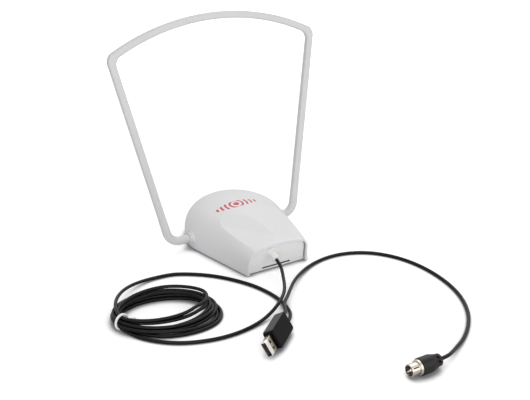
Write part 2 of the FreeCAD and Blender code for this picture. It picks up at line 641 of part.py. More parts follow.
def make_usb_shell():
    shell = plug_tube(0).cut(plug_tube(-USB_PLUG_T))
    mouth_x = USB_CASE_L / 2 + USB_PLUG_OUT
    for side in (-1, 1):
        y = side * USB_WINDOW_PITCH / 2
        x = mouth_x - USB_WINDOW_BACK
        half = USB_WINDOW / 2
        shell = shell.cut(block(x - half, x + half, y - half, y + half, -USB_PLUG_H, USB_PLUG_H))
    return in_usb_frame(shell)


def make_usb_tongue():
    half_w = USB_PLUG_W / 2 - USB_PLUG_CORNER_R
    foot = -USB_PLUG_H / 2 + USB_PLUG_T
    rear = USB_CASE_L / 2 - USB_PLUG_IN
    front = USB_CASE_L / 2 + USB_PLUG_OUT - USB_TONGUE_BACK
    return in_usb_frame(block(rear, front, -half_w, half_w, foot, foot + USB_TONGUE_H))


def make_usb_contacts():
    top = -USB_PLUG_H / 2 + USB_PLUG_T + USB_TONGUE_H
    front = USB_CASE_L / 2 + USB_PLUG_OUT - 2 * USB_TONGUE_BACK
    strips = []
    for i in range(4):
        y = (i - 1.5) * USB_CONTACT_PITCH
        strips.append(in_usb_frame(block(front - USB_CONTACT_L, front, y - USB_CONTACT_W / 2,
                                         y + USB_CONTACT_W / 2, top, top + USB_CONTACT_T)))
    return Part.makeCompound(strips)


def make_injector_board():
    half_w = USB_CASE_W / 2 - USB_CASE_WALL - USB_BOARD_GAP
    rear = -USB_CASE_L / 2 + USB_CASE_WALL + USB_CASE_CORNER_R / 2
    front = USB_CASE_L / 2 - USB_PLUG_IN
    board_foot = USB_BOARD_Z - USB_BOARD_T
    return in_usb_frame(block(rear, front, -half_w, half_w, board_foot, USB_BOARD_Z))


# TV plug, drawn standing on its cable end with Z towards the sleeve's mouth

PLUG_LENGTH = PLUG_BODY_L + PLUG_SLEEVE_L
PLUG_FRAME = FreeCAD.Placement(V(PLUG_FRONT_X + PLUG_LENGTH, PLUG_Y, PLUG_BODY_D / 2 + TABLE_CLEAR),
                               FreeCAD.Rotation(V(0, 1, 0), -90))
PLUG_BACK = PLUG_FRAME.Base
PLUG_BEHIND = PLUG_BACK + V(EXIT_RUN, 0, 0)


def in_plug_frame(shape):
    shape.Placement = PLUG_FRAME.multiply(shape.Placement)
    return shape


def make_tv_plug_body():
    grip_foot = PLUG_TAIL_L
    grip_top = grip_foot + PLUG_GRIP_L
    tail_r, body_r = PLUG_TAIL_D / 2, PLUG_BODY_D / 2
    body = turned([(0, tail_r - PLUG_CHAMFER), (PLUG_CHAMFER, tail_r), (grip_foot, tail_r),
                   (grip_top, body_r), (PLUG_BODY_L - PLUG_CHAMFER, body_r),
                   (PLUG_BODY_L, body_r - PLUG_CHAMFER)])
    lean = math.atan2(body_r - tail_r, PLUG_GRIP_L)
    low = V(tail_r - PLUG_GRIP_DEPTH + PLUG_GRIP_D / 2, 0, grip_foot)
    way = V(math.sin(lean), 0, math.cos(lean))
    flute = rod(PLUG_GRIP_D, low, low + way * PLUG_FLUTE_L)
    for i in range(PLUG_GRIP_COUNT):
        cut = flute.copy()
        cut.rotate(V(0, 0, 0), V(0, 0, 1), (i + 0.5) * 360 / PLUG_GRIP_COUNT)
        body = body.cut(cut)
    return in_plug_frame(body)


def make_tv_plug_sleeve():
    """Drawn metal sleeve with a shoulder against the body and slits that let it spring."""
    collar = Part.makeCylinder(PLUG_COLLAR_D / 2, PLUG_COLLAR_L, V(0, 0, PLUG_BODY_L))
    rim = [e for e in collar.Edges if e.BoundBox.ZMin > PLUG_BODY_L + PLUG_COLLAR_L / 2]
    collar = collar.makeFillet(PLUG_COLLAR_L / 3, rim)
    sleeve = Part.makeCylinder(PLUG_SLEEVE_D / 2, PLUG_SLEEVE_L, V(0, 0, PLUG_BODY_L))
    mouth = [e for e in sleeve.Edges if e.BoundBox.ZMin > PLUG_LENGTH - 1e-6]
    sleeve = sleeve.makeChamfer(PLUG_SLEEVE_T / 2, mouth).fuse(collar)
    sleeve = sleeve.cut(Part.makeCylinder(PLUG_SLEEVE_D / 2 - PLUG_SLEEVE_T, PLUG_LENGTH))
    slit_foot = PLUG_BODY_L + PLUG_COLLAR_L + PLUG_SLIT_BACK
    slit = block(0, PLUG_SLEEVE_D, -PLUG_SLIT_W / 2, PLUG_SLIT_W / 2, slit_foot, slit_foot + PLUG_SLIT_L)
    for i in range(4):
        cut = slit.copy()
        cut.rotate(V(0, 0, 0), V(0, 0, 1), PLUG_SLIT_TURN + 90 * i)
        sleeve = sleeve.cut(cut)
    return in_plug_frame(sleeve.removeSplitter())


def make_tv_plug_insulator():
    disc = Part.makeCylinder(PLUG_SLEEVE_D / 2 - PLUG_SLEEVE_T, PLUG_INSULATOR_L, V(0, 0, PLUG_BODY_L))
    return in_plug_frame(disc.cut(Part.makeCylinder(PLUG_PIN_D / 2, PLUG_LENGTH)))


def make_tv_plug_pin():
    top = PLUG_LENGTH - PLUG_PIN_SHORT
    pin_r = PLUG_PIN_D / 2
    pin = turned([(PLUG_BODY_L, pin_r), (top - PLUG_CHAMFER, pin_r), (top, pin_r / 2)])
    return in_plug_frame(pin)


# Cables: straight runs joined by tangent arcs

LEAD_ROUTE = [GLAND_TIP, GLAND_AHEAD, V(-9.0, -96.4, 9.9), V(-13.0, -104.6, 9.0), V(-17.2, -113.2, 8.4),
              V(-22.3, -121.3, 7.8), V(-29.2, -128.9, 7.5), V(-36.8, -135.4, 7.2), V(-45.3, -140.2, 5.2),
              V(-56.0, -143.6, 2.4), V(-68.7, -146.6, 1.6), V(-82.2, -148.4, 1.5), V(-95.9, -147.9, 1.5),
              V(-109.1, -145.0, 1.5), V(-122.4, -140.0, 1.5), V(-134.6, -132.0, 1.5), V(-145.0, -121.4, 1.5),
              V(-151.9, -110.4, 1.5)]
TAIL_ROUTE = [V(-154.6, -82.8, 11.4), V(-151.2, -73.0, 10.6), V(-145.4, -62.6, 9.2), V(-136.6, -52.0, 7.2),
              V(-125.6, -43.6, 5.0), V(-114.4, -38.6, 3.0), V(-103.9, -36.4, 1.8),
              V(-86.2, -37.7, 1.5), V(-77.0, -42.3, 1.5), V(-68.2, -48.1, 1.5), V(-60.0, -54.8, 1.5),
              V(-52.4, -62.7, 1.5), V(-45.6, -71.7, 1.5), V(-39.3, -81.7, 1.5), V(-33.9, -92.5, 1.5),
              V(-30.0, -104.4, 1.5), V(-27.7, -116.7, 1.5), V(-27.6, -128.0, 1.5), V(-29.4, -137.6, 2.1),
              V(-32.5, -146.2, 3.6), V(-35.9, -152.3, 5.2), USB_TAIL_AHEAD, USB_TAIL_ENTRY]
TV_ROUTE = [USB_LEAD_ENTRY, USB_LEAD_AHEAD, V(-38.8, -149.6, 11.3), V(-35.6, -143.4, 10.4),
            V(-31.0, -137.0, 9.2), V(-24.6, -131.0, 7.8), V(-15.6, -121.2, 6.4), V(-3.0, -107.1, 4.6),
            V(13.0, -94.2, 2.6), V(29.9, -85.5, 1.6), V(48.9, -82.6, 1.5), V(67.6, -85.6, 1.5),
            V(84.6, -94.9, 1.5), V(98.1, -109.5, 1.5), V(107.0, -127.0, 1.5), V(111.1, -146.8, 1.5),
            V(110.3, -167.8, 1.5), V(106.0, -187.8, 1.5), V(98.8, -205.4, 1.5), V(88.2, -220.7, 1.5),
            V(74.0, -233.4, 1.5), V(60.4, -243.4, 1.7), V(48.6, -251.2, 3.0), V(39.4, -256.9, 4.8),
            PLUG_BEHIND, PLUG_BACK]
INNER_ROUTE = [GLAND_BACK, GLAND_BEHIND, V(GLAND_X, -55.4, 15.2), V(GLAND_X, -47.6, 10.8),
               V(GLAND_X, BOARD_FRONT_Y + LEAD_LAP, BOARD_TOP + CORD_D / 2 + TABLE_CLEAR)]


def make_cord(name, route):
    """Round cable along a route, each corner rounded as far as its two runs allow."""
    edges = []
    radii = []
    start = route[0]
    for before, corner, after in zip(route, route[1:], route[2:]):
        back, ahead = before - corner, after - corner
        reach = CORD_REACH * min(back.Length, ahead.Length)
        turn = math.pi - back.getAngle(ahead)
        radius = reach / math.tan(turn / 2)
        back.normalize()
        ahead.normalize()
        inward = (back + ahead).normalize()
        middle = corner + inward * (radius / math.cos(turn / 2) - radius)
        edges.append(Part.LineSegment(start, corner + back * reach).toShape())
        edges.append(Part.Arc(corner + back * reach, middle, corner + ahead * reach).toShape())
        start = corner + ahead * reach
        radii.append(radius)
    edges.append(Part.LineSegment(start, route[-1]).toShape())
    path = Part.Wire(edges)
    ring = Part.Wire([Part.Circle(route[0], route[1] - route[0], CORD_D / 2).toShape()])
    tube = path.makePipeShell([ring], True, True)
    expected = math.pi * CORD_D ** 2 / 4 * path.Length
    print(name, "length", round(path.Length, 1), "least radius", round(min(radii), 1),
          "volume ratio", round(tube.Volume / expected, 4))
    return tube


def make_coax_coil():
    rings = []
    for grow in (0, -COIL_RING):
        ellipse = Part.Ellipse(V(COIL_X, COIL_Y, COIL_Z), COIL_A + grow, COIL_B + grow)
        rings.append(Part.Face(Part.Wire([ellipse.toShape()])).extrude(V(0, 0, COIL_H)))
    coil = rings[0].cut(rings[1])
    round_edges = [e for e in coil.Edges if e.BoundBox.ZLength < 1e-6]
    coil = coil.makeFillet(COIL_EDGE_R, round_edges)
    coil.rotate(V(COIL_X, COIL_Y, 0), V(0, 0, 1), COIL_TURN)
    return coil


def make_coil_tie():
    """White band round the coil, square to its strands."""
    room_w, room_h = COIL_RING + 2 * TIE_CLEAR, COIL_H + 2 * TIE_CLEAR
    inner = bar(room_w, room_h, TIE_W, COIL_EDGE_R)
    outer = bar(room_w + 2 * TIE_T, room_h + 2 * TIE_T, TIE_W, COIL_EDGE_R + TIE_T)
    band = outer.cut(inner)
    band.translate(V(0, 0, -TIE_W / 2))
    band.rotate(V(0, 0, 0), V(1, 0, 0), 90)
    angle = math.radians(TIE_ANGLE)
    mid_a, mid_b = COIL_A - COIL_RING / 2, COIL_B - COIL_RING / 2
    heading = math.degrees(math.atan2(mid_b * math.cos(angle), -mid_a * math.sin(angle)))
    band.rotate(V(0, 0, 0), V(0, 0, 1), heading + 90)
    band.translate(V(mid_a * math.cos(angle), mid_b * math.sin(angle), COIL_H / 2))
    band.translate(V(COIL_X, COIL_Y, COIL_Z))
    band.rotate(V(COIL_X, COIL_Y, 0), V(0, 0, 1), COIL_TURN)
    return band


PIECES = {
    "top_shell": make_top_shell(),
    "bottom_tray": make_bottom_tray(),
    "rubber_pad": make_rubber_pad(),
    "tray_screws": make_tray_screws(),
    "pivot_bush_left": make_pivot_bush(-1),
    "pivot_bush_right": make_pivot_bush(1),
    "loop_frame": make_loop_frame(),
    "pivot_pin_left": make_pivot_pin(-1),
    "pivot_pin_right": make_pivot_pin(1),
    "retaining_clips": make_retaining_clips(),
    "amplifier_board": make_amplifier_board(),
    "board_screws": make_board_screws(),
    "shield_can": make_shield_can(),
    "balun_core": make_balun_core(),
    "supply_capacitor": make_supply_capacitor(),
    "contact_left": make_contact(-1),
    "contact_right": make_contact(1),
    "cable_gland": make_cable_gland(),
    "inner_lead": make_cord("inner_lead", INNER_ROUTE),
    "coax_lead": make_cord("coax_lead", LEAD_ROUTE),
    "coax_coil": make_coax_coil(),
    "coil_tie": make_coil_tie(),
    "coax_tail": make_cord("coax_tail", TAIL_ROUTE),
    "usb_case_upper": make_usb_case(1),
    "usb_case_lower": make_usb_case(-1),
    "usb_shell": make_usb_shell(),
    "usb_tongue": make_usb_tongue(),
    "usb_contacts": make_usb_contacts(),
    "injector_board": make_injector_board(),
    "tv_lead": make_cord("tv_lead", TV_ROUTE),
    "tv_plug_body": make_tv_plug_body(),
    "tv_plug_sleeve": make_tv_plug_sleeve(),
    "tv_plug_insulator": make_tv_plug_insulator(),
    "tv_plug_pin": make_tv_plug_pin(),
}

os.makedirs("parts", exist_ok=True)
for name, shape in PIECES.items():
    box = shape.BoundBox
    print(name, "solids", len(shape.Solids), "valid", shape.isValid(), "volume", round(shape.Volume, 1),
          "x", round(box.XMin, 1), round(box.XMax, 1), "y", round(box.YMin, 1), round(box.YMax, 1),
          "z", round(box.ZMin, 2), round(box.ZMax, 2))
    shape.exportStep("parts/" + name + ".step")
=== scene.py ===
import math

import bpy
import numpy
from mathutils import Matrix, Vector


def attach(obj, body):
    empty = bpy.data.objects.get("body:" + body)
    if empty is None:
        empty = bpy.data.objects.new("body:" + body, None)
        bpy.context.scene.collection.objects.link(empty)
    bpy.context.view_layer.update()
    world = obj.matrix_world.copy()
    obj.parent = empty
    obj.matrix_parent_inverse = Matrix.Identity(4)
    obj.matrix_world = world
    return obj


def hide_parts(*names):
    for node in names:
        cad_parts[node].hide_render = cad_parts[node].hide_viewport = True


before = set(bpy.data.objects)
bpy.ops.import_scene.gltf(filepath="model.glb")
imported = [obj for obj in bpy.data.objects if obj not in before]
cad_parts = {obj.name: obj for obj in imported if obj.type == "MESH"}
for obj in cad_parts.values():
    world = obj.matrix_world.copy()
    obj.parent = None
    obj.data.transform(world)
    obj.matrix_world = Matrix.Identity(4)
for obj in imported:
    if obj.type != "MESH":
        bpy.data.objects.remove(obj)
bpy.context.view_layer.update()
MM = 0.001

# Housing: a low dome and the tray that closes it from below, both injection moulded in white ABS
# with a fine spark-eroded skin. Three screws from below hold the tray to posts in the dome.
# A small red signal mark is pad printed on the roof, just behind its middle.


class Wire:
    """A socket inside a finish. Python's operators on it add Math nodes."""

    def __init__(self, tree, socket=None):
        self.tree = tree
        self.socket = socket

    def node(self, kind, settings=None, inputs=None, output=0):
        """Adds a node, its settings first, then the values or links of its sockets."""
        new = self.tree.nodes.new(kind)
        for name, value in (settings or {}).items():
            setattr(new, name, value)
        for name, value in (inputs or {}).items():
            if isinstance(value, Wire):
                self.tree.links.new(value.socket, new.inputs[name])
            else:
                new.inputs[name].default_value = value
        return Wire(self.tree, new.outputs[output])

    def feed(self, shader, socket):
        """Links this socket to one of the shader's, in place of what was there."""
        self.tree.links.new(self.socket, shader.inputs[socket])

    def maths(self, operation, first, second):
        """Adds a Math node on two values or wires."""
        return self.node("ShaderNodeMath", {"operation": operation}, {0: first, 1: second})

    def __add__(self, other):
        return self.maths("ADD", self, other)

    def __radd__(self, other):
        return self.maths("ADD", other, self)

    def __sub__(self, other):
        return self.maths("SUBTRACT", self, other)

    def __rsub__(self, other):
        return self.maths("SUBTRACT", other, self)

    def __mul__(self, other):
        return self.maths("MULTIPLY", self, other)

    def __rmul__(self, other):
        return self.maths("MULTIPLY", other, self)

    def __pow__(self, other):
        return self.maths("POWER", self, other)

    def __abs__(self):
        return self.maths("ABSOLUTE", self, 0)

    def __gt__(self, other):
        return self.maths("GREATER_THAN", self, other)

    def __lt__(self, other):
        return self.maths("LESS_THAN", self, other)


def paint(red, green, blue):
    """Linear colour of a swatch given in the steps of a screen, 0 to 255."""
    steps = [value / 255 for value in (red, green, blue)]
    return tuple(s / 12.92 if s < 0.04045 else ((s + 0.055) / 1.055) ** 2.4 for s in steps) + (1.0,)


def new_finish(name):
    """An empty finish, its shader and a wire at the piece's own coordinates."""
    finish = bpy.data.materials.new(name)
    finish.use_nodes = True
    shader = finish.node_tree.nodes["Principled BSDF"]
    place = Wire(finish.node_tree).node("ShaderNodeTexCoord", output="Object")
    return finish, shader, place


def reopen(finish):
    """A made finish's shader, its colour so far and a wire at the piece's own coordinates."""
    shader = finish.node_tree.nodes["Principled BSDF"]
    bare = Wire(finish.node_tree, shader.inputs["Base Color"].links[0].from_socket)
    place = bare.node("ShaderNodeTexCoord", output="Object")
    return shader, bare, place


def split(place):
    """The three coordinates of a place: across, along and height."""
    parts = place.node("ShaderNodeSeparateXYZ", inputs={0: place}).socket.node
    return [Wire(place.tree, part) for part in parts.outputs]


def noise(place, size, detail=3.0):
    """Cloudy pattern from 0 to 1 whose blotches are about size metres across."""
    return place.node("ShaderNodeTexNoise", inputs={"Vector": place, "Scale": 1 / size, "Detail": detail})


def swing(pattern, width):
    """A pattern's swing about zero, width from its lowest to its highest."""
    return width * (pattern - 0.5)


def blend(share, low, high):
    """Colour that goes from low to high as share goes from 0 to 1."""
    return share.node("ShaderNodeMix", {"data_type": "RGBA"}, {0: share, 6: low, 7: high}, output=2)


def relief(height, depth, strength):
    """Surface relief of that depth in metres."""
    return height.node("ShaderNodeBump", inputs={"Strength": strength, "Distance": depth, "Height": height})


def moulded(name, colour, shade, rough, grain, depth, shine=0.5):
    """Moulded plastic: a faint flow mottle in its colour and a grained skin."""
    finish, shader, place = new_finish(name)
    shader.inputs["Specular IOR Level"].default_value = shine
    mottle = noise(place, size=35 * MM)
    skin = noise(place, size=grain, detail=2.0)
    blend(mottle, shade, colour).feed(shader, "Base Color")
    (rough + swing(skin, width=0.16) + swing(mottle, width=0.08)).feed(shader, "Roughness")
    relief(skin, depth, strength=0.35).feed(shader, "Normal")
    return finish


def dress(finish, *names):
    """Gives CAD nodes a finish in place of the one they came with."""
    for name in names:
        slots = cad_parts[name].data.materials
        slots.clear()
        slots.append(finish)


HOUSING_SKIN = {"rough": 0.46, "grain": 0.5 * MM, "depth": 0.02 * MM}
TRAY_WHITE = paint(238, 237, 238)
HOUSING_WHITE = paint(231, 230, 231)
HOUSING_SHADE = paint(226, 225, 227)
# The slot's inside and a thin band just under it are painted dark grey: painted shade in the recess.
SLOT_PAINTED_SHADE = paint(62, 60, 62)
SLOT_HALF_W = 14.25 * MM
SLOT_LOW, SLOT_TOP = 2.75 * MM, 4.2 * MM
SLOT_BEFORE = -60 * MM
housing_white = moulded("housing_white", TRAY_WHITE, HOUSING_WHITE, **HOUSING_SKIN)
shader, bare, place = reopen(housing_white)
across, along, height = split(place)
slot_shade_mask = (abs(across) < SLOT_HALF_W) * (along < SLOT_BEFORE) * (height > SLOT_LOW) * (height < SLOT_TOP)
blend(slot_shade_mask, bare, SLOT_PAINTED_SHADE).feed(shader, "Base Color")
dress(housing_white, "bottom_tray")

MARK_RED = paint(196, 44, 56)
MARK_X, MARK_Y = -4.0 * MM, -7.0 * MM
MARK_ABOVE = 30.0 * MM
MARK_DOT_R = 2.8 * MM
MARK_ARCS = [(6.2 * MM, 5.6 * MM), (10.6 * MM, 4.8 * MM), (15.0 * MM, 3.6 * MM), (19.4 * MM, 2.2 * MM)]
MARK_LINE = 2.0 * MM
printed_white = moulded("housing_white_printed", HOUSING_WHITE, HOUSING_SHADE, **HOUSING_SKIN)
shader, bare, place = reopen(printed_white)
centred = place.node("ShaderNodeMapping", {"vector_type": "POINT"},
                     {"Vector": place, "Location": (-MARK_X, -MARK_Y, 0)})
across, along, height = split(centred)
radius = (across * across + along * along) ** 0.5
mark = radius < MARK_DOT_R
for arc_r, half_height in MARK_ARCS:
    band = (radius > arc_r - MARK_LINE / 2) * (radius < arc_r + MARK_LINE / 2)
    mark = mark + band * (abs(along) < half_height)
blend(mark * (height > MARK_ABOVE), bare, MARK_RED).feed(shader, "Base Color")
dress(printed_white, "top_shell")

# Foot pad and screws: one sheet of soft grey rubber glued in the tray's recess, and self-tapping
# screws of zinc-plated steel. The pad is die cut, with a fine cloth imprint on its skin.

PAD_GREY, PAD_DUST = paint(52, 53, 55), paint(66, 66, 67)
PAD_ROUGH = 0.78
pad_rubber, shader, place = new_finish("pad_rubber")
dust = noise(place, size=6 * MM)
imprint = noise(place, size=0.35 * MM, detail=1.0)
blend(dust, PAD_GREY, PAD_DUST).feed(shader, "Base Color")
(PAD_ROUGH + swing(dust, width=0.12)).feed(shader, "Roughness")
relief(imprint, depth=0.05 * MM, strength=0.5).feed(shader, "Normal")
dress(pad_rubber, "rubber_pad")


def metal(name, colour, tarnish, rough):
    """Bare or plated metal: a fine rubbed grain and a light tarnish."""
    finish, shader, place = new_finish(name)
    shader.inputs["Metallic"].default_value = 1.0
    grain = noise(place, size=0.25 * MM, detail=2.0)
    bloom = noise(place, size=4 * MM)
    blend(bloom, tarnish, colour).feed(shader, "Base Color")
    (rough + swing(grain, width=0.14) + swing(bloom, width=0.1)).feed(shader, "Roughness")
    relief(grain, depth=0.01 * MM, strength=0.25).feed(shader, "Normal")
    return finish


screw_zinc = metal("screw_steel", colour=paint(196, 198, 202), tarnish=paint(168, 170, 176), rough=0.34)
dress(screw_zinc, "tray_screws", "board_screws")

# Loop and its pivot: one bar of white ABS bent to a tall loop with rounded corners, which turns
# in two pressed-in bushes. Brass pins are moulded into its round ends, and snap rings of spring
# steel behind the bushes keep the ends in.

bush_white = moulded("bush_white", colour=paint(224, 224, 224), shade=paint(214, 214, 215),
                     rough=0.38, grain=0.4 * MM, depth=0.012 * MM)
dress(bush_white, "pivot_bush_left", "pivot_bush_right")
loop_white = moulded("loop_white", colour=paint(214, 214, 214), shade=paint(206, 206, 207),
                     rough=0.34, grain=0.4 * MM, depth=0.012 * MM)
dress(loop_white, "loop_frame")
pin_brass = metal("pin_brass", colour=paint(214, 182, 104), tarnish=paint(182, 146, 76), rough=0.28)
dress(pin_brass, "pivot_pin_left", "pivot_pin_right")
clip_steel = metal("clip_steel", colour=paint(150, 152, 158), tarnish=paint(118, 118, 124), rough=0.36)
dress(clip_steel, "retaining_clips")

# Amplifier: a glass-epoxy board on the tray's posts, with a tinned screening can, a two-hole
# ferrite that joins the loop to the amplifier, a supply capacitor and two sprung contact strips
# of bronze that press on the loop's pins.

LACQUER_GREEN, COPPER_GREEN = paint(24, 78, 48), paint(38, 104, 62)
COPPER_FROM = 0.53
LACQUER_ROUGH, WEAVE_ROUGH = 0.3, 0.12
WEAVE_HEIGHT = 0.3
board_laminate, shader, place = new_finish("board_laminate")
copper = noise(place, size=5 * MM, detail=1.0) > COPPER_FROM
weave = noise(place, size=0.6 * MM, detail=1.0)
blend(copper, LACQUER_GREEN, COPPER_GREEN).feed(shader, "Base Color")
(LACQUER_ROUGH + WEAVE_ROUGH * weave).feed(shader, "Roughness")
relief(copper + WEAVE_HEIGHT * weave, depth=0.03 * MM, strength=0.4).feed(shader, "Normal")
dress(board_laminate, "amplifier_board", "injector_board")
can_tin = metal("can_tin", colour=paint(200, 200, 196), tarnish=paint(172, 172, 170), rough=0.3)
dress(can_tin, "shield_can")
contact_bronze = metal("contact_bronze", colour=paint(206, 160, 100), tarnish=paint(170, 120, 70), rough=0.3)
dress(contact_bronze, "contact_left", "contact_right")
core_ferrite = moulded("core_ferrite", colour=paint(52, 50, 50), shade=paint(40, 38, 39),
                       rough=0.55, grain=0.3 * MM, depth=0.04 * MM)
dress(core_ferrite, "balun_core")
sleeve_navy = moulded("capacitor_sleeve", colour=paint(34, 38, 60), shade=paint(26, 28, 46),
                      rough=0.3, grain=1.2 * MM, depth=0.02 * MM)
dress(sleeve_navy, "supply_capacitor")

# Gland and inner lead: an ivory soft-vinyl bush snapped into the front panel, and behind it the
# last stretch of the cable, which runs to the board with its black jacket on. The jacket is satin,
# with a faint bloom and the fine drag marks of extrusion.

gland_ivory = moulded("gland_ivory", colour=paint(247, 246, 242), shade=paint(242, 239, 232),
                      rough=0.42, grain=0.5 * MM, depth=0.015 * MM)
dress(gland_ivory, "cable_gland")
JACKET_BLACK, JACKET_BLOOM = paint(5, 5, 6), paint(10, 10, 11)
JACKET_ROUGH, JACKET_SHINE = 0.32, 0.2
cable_black, shader, place = new_finish("cable_black")
shader.inputs["Specular IOR Level"].default_value = JACKET_SHINE
bloom = noise(place, size=9 * MM)
drag = noise(place, size=0.5 * MM, detail=2.0)
blend(bloom, JACKET_BLACK, JACKET_BLOOM).feed(shader, "Base Color")
(JACKET_ROUGH + swing(bloom, width=0.14) + swing(drag, width=0.1)).feed(shader, "Roughness")
relief(drag, depth=0.02 * MM, strength=0.3).feed(shader, "Normal")
dress(cable_black, "inner_lead")

# Antenna cable: 2.9 mm coaxial cable with a black vinyl jacket. It leaves the gland, runs on the
# table to a hank of seven loose turns held at one end by the tie, and from there over the top of
# the hank and round behind the lead to the feed block.

CORD_D = 2.9 * MM
CORD_FACETS, CORD_STEPS = 5, 6
# Routes and the hank's own sizes are in millimetres.
LEAD_ROUTE = [(-6.4, -82.4, 14.8), (-6.4, -89.4, 12.1), (-9.0, -96.4, 9.9), (-13.0, -104.6, 9.0),
              (-17.2, -113.2, 8.4), (-22.3, -121.3, 7.8), (-29.2, -128.9, 7.5), (-36.8, -135.4, 7.2),
              (-45.3, -140.2, 5.2), (-56.0, -143.6, 2.4), (-68.7, -146.6, 1.6), (-82.2, -148.4, 1.5),
              (-95.9, -147.9, 1.5), (-109.1, -145.0, 1.5), (-122.4, -140.0, 1.5), (-134.6, -132.0, 1.5),
              (-145.0, -121.4, 1.5), (-151.9, -110.4, 1.5)]
TAIL_ROUTE = [(-154.6, -82.8, 11.4), (-151.2, -73.0, 10.6), (-145.4, -62.6, 9.2), (-136.6, -52.0, 7.2),
              (-125.6, -43.6, 5.0), (-114.4, -38.6, 3.0), (-103.9, -36.4, 1.8), (-86.2, -37.7, 1.5),
              (-77.0, -42.3, 1.5), (-68.2, -48.1, 1.5), (-60.0, -54.8, 1.5), (-52.4, -62.7, 1.5),
              (-45.6, -71.7, 1.5), (-39.3, -81.7, 1.5), (-33.9, -92.5, 1.5), (-30.0, -104.4, 1.5),
              (-27.7, -116.7, 1.5), (-27.6, -128.0, 1.5), (-29.4, -137.6, 2.1), (-32.5, -146.2, 3.6),
              (-35.9, -152.3, 5.2), (-40.7, -158.5, 6.3), (-46.5, -163.3, 6.3)]
HANK_X, HANK_Y = -118.5, -96.0
HANK_HALF_LONG, HANK_HALF_SHORT = 40.0, 28.0
HANK_TURNED = math.radians(-20)
TIE_ANGLE = math.radians(208)
POINTS_PER_TURN = 18
# How far each turn lies outside the hank's middle line and how high, from the first turn on the
# table to the last on top, at six even stations clockwise from the tie. The tie has one pair more,
# where the last turn comes back into it.
AT_TIE = [(1.5, 3.0), (-1.5, 2.9), (2.9, 5.7), (-0.1, 5.8), (1.5, 8.4), (-3.1, 5.7), (-1.5, 8.4),
          (0.2, 10.8)]
AT_LEFT = [(0.8, 1.5), (-2.5, 1.5), (1.9, 4.4), (-1.1, 4.1), (1.0, 7.3), (-3.4, 6.7), (-3.1, 9.6)]
AT_BACK = [(1.2, 1.5), (-2.2, 1.5), (1.3, 4.6), (-2.1, 4.6), (1.0, 7.7), (-2.1, 7.7), (0.6, 11.4)]
AT_RIGHT = [(2.9, 1.5), (-0.1, 1.5), (3.1, 4.5), (-0.7, 4.6), (-1.6, 8.4), (-4.4, 7.3), (-1.8, 12.8)]
AT_CORNER = [(7.2, 1.5), (3.7, 1.5), (-0.4, 4.2), (-1.7, 6.9), (-5.4, 6.5), (-9.1, 9.2), (-11.8, 11.9)]
AT_FRONT = [(3.4, 1.5), (2.0, 4.8), (-1.2, 3.5), (-1.2, 6.5), (-4.9, 3.8), (-8.5, 7.3), (-8.1, 10.3)]


def hank_turn(turn):
    """Points of one turn, clockwise from the tie, and for the last turn back into it."""
    last = turn == len(AT_BACK) - 1
    stations = [AT_TIE[turn], AT_LEFT[turn], AT_BACK[turn], AT_RIGHT[turn], AT_CORNER[turn],
                AT_FRONT[turn], AT_TIE[turn + 1]]
    outs, lifts = zip(*stations)
    marks = numpy.linspace(0, 1, len(stations))
    points = []
    for step in range(POINTS_PER_TURN + last):
        share = step / POINTS_PER_TURN
        out = numpy.interp(share, marks, outs)
        lift = numpy.interp(share, marks, lifts)
        angle = TIE_ANGLE - 2 * math.pi * share
        long_way = (HANK_HALF_LONG + out) * math.cos(angle)
        short_way = (HANK_HALF_SHORT + out) * math.sin(angle)
        x = HANK_X + long_way * math.cos(HANK_TURNED) - short_way * math.sin(HANK_TURNED)
        y = HANK_Y + long_way * math.sin(HANK_TURNED) + short_way * math.cos(HANK_TURNED)
        points.append((x, y, lift))
    return points


def metres(point):
    """A route's point, which is given in millimetres, in metres."""
    return tuple(value * MM for value in point)


def make_cable(name, route, finish):
    """Round cable on one smooth spline that the route's points control."""
    curve = bpy.data.curves.new(name, "CURVE")
    curve.dimensions = "3D"
    curve.bevel_depth = CORD_D / 2
    curve.bevel_resolution = CORD_FACETS
    curve.resolution_u = CORD_STEPS
    curve.use_fill_caps = True
    spline = curve.splines.new("NURBS")
    spline.points.add(len(route) - 1)
    for control, point in zip(spline.points, route):
        control.co = metres(point) + (1,)
    spline.order_u = 3
    spline.use_endpoint_u = True
    cable = bpy.data.objects.new(name, curve)
    bpy.context.scene.collection.objects.link(cable)
    curve.materials.append(finish)
    return cable


hank_points = [point for turn in range(len(AT_BACK)) for point in hank_turn(turn)]
antenna_cable = make_cable("antenna_cable", LEAD_ROUTE + hank_points + TAIL_ROUTE, cable_black)
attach(antenna_cable, "base")
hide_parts("coax_lead", "coax_coil", "coax_tail")

# Tie: a plastic-covered wire bent round the hank where all the turns meet, its two ends twisted
# together on the hank's inner side, close to the table. White vinyl over a steel core.

TIE_WIRE_R = 0.95 * MM
TIE_AT = (-155.4 * MM, -96.0 * MM, 7.2 * MM)
TIE_HALF_W, TIE_HALF_H = 5.7 * MM, 6.1 * MM
TIE_TURNED = math.radians(17.3)
TIE_RING_STEPS, TIE_WIRE_SIDES = 64, 12
TIE_SMOOTH = math.radians(50)
TWIST_DROP, TWIST_STEP, TWIST_STEPS = 3.2 * MM, 0.8 * MM, 10
TWIST_TURN = math.radians(40)
tie_white = moulded("tie_white", colour=paint(244, 244, 244), shade=paint(236, 236, 236),
                    rough=0.4, grain=0.8 * MM, depth=0.01 * MM)
bpy.ops.object.select_all(action="DESELECT")
bpy.ops.mesh.primitive_torus_add(major_radius=TIE_HALF_W, minor_radius=TIE_WIRE_R,
                                 major_segments=TIE_RING_STEPS, minor_segments=TIE_WIRE_SIDES,
                                 rotation=(math.pi / 2, 0, 0))
hank_tie = bpy.context.object
hank_tie.name = "hank_tie"
bpy.ops.object.transform_apply(location=True, rotation=True, scale=True)
bpy.ops.object.mode_set(mode="EDIT")
bpy.ops.mesh.select_all(action="SELECT")
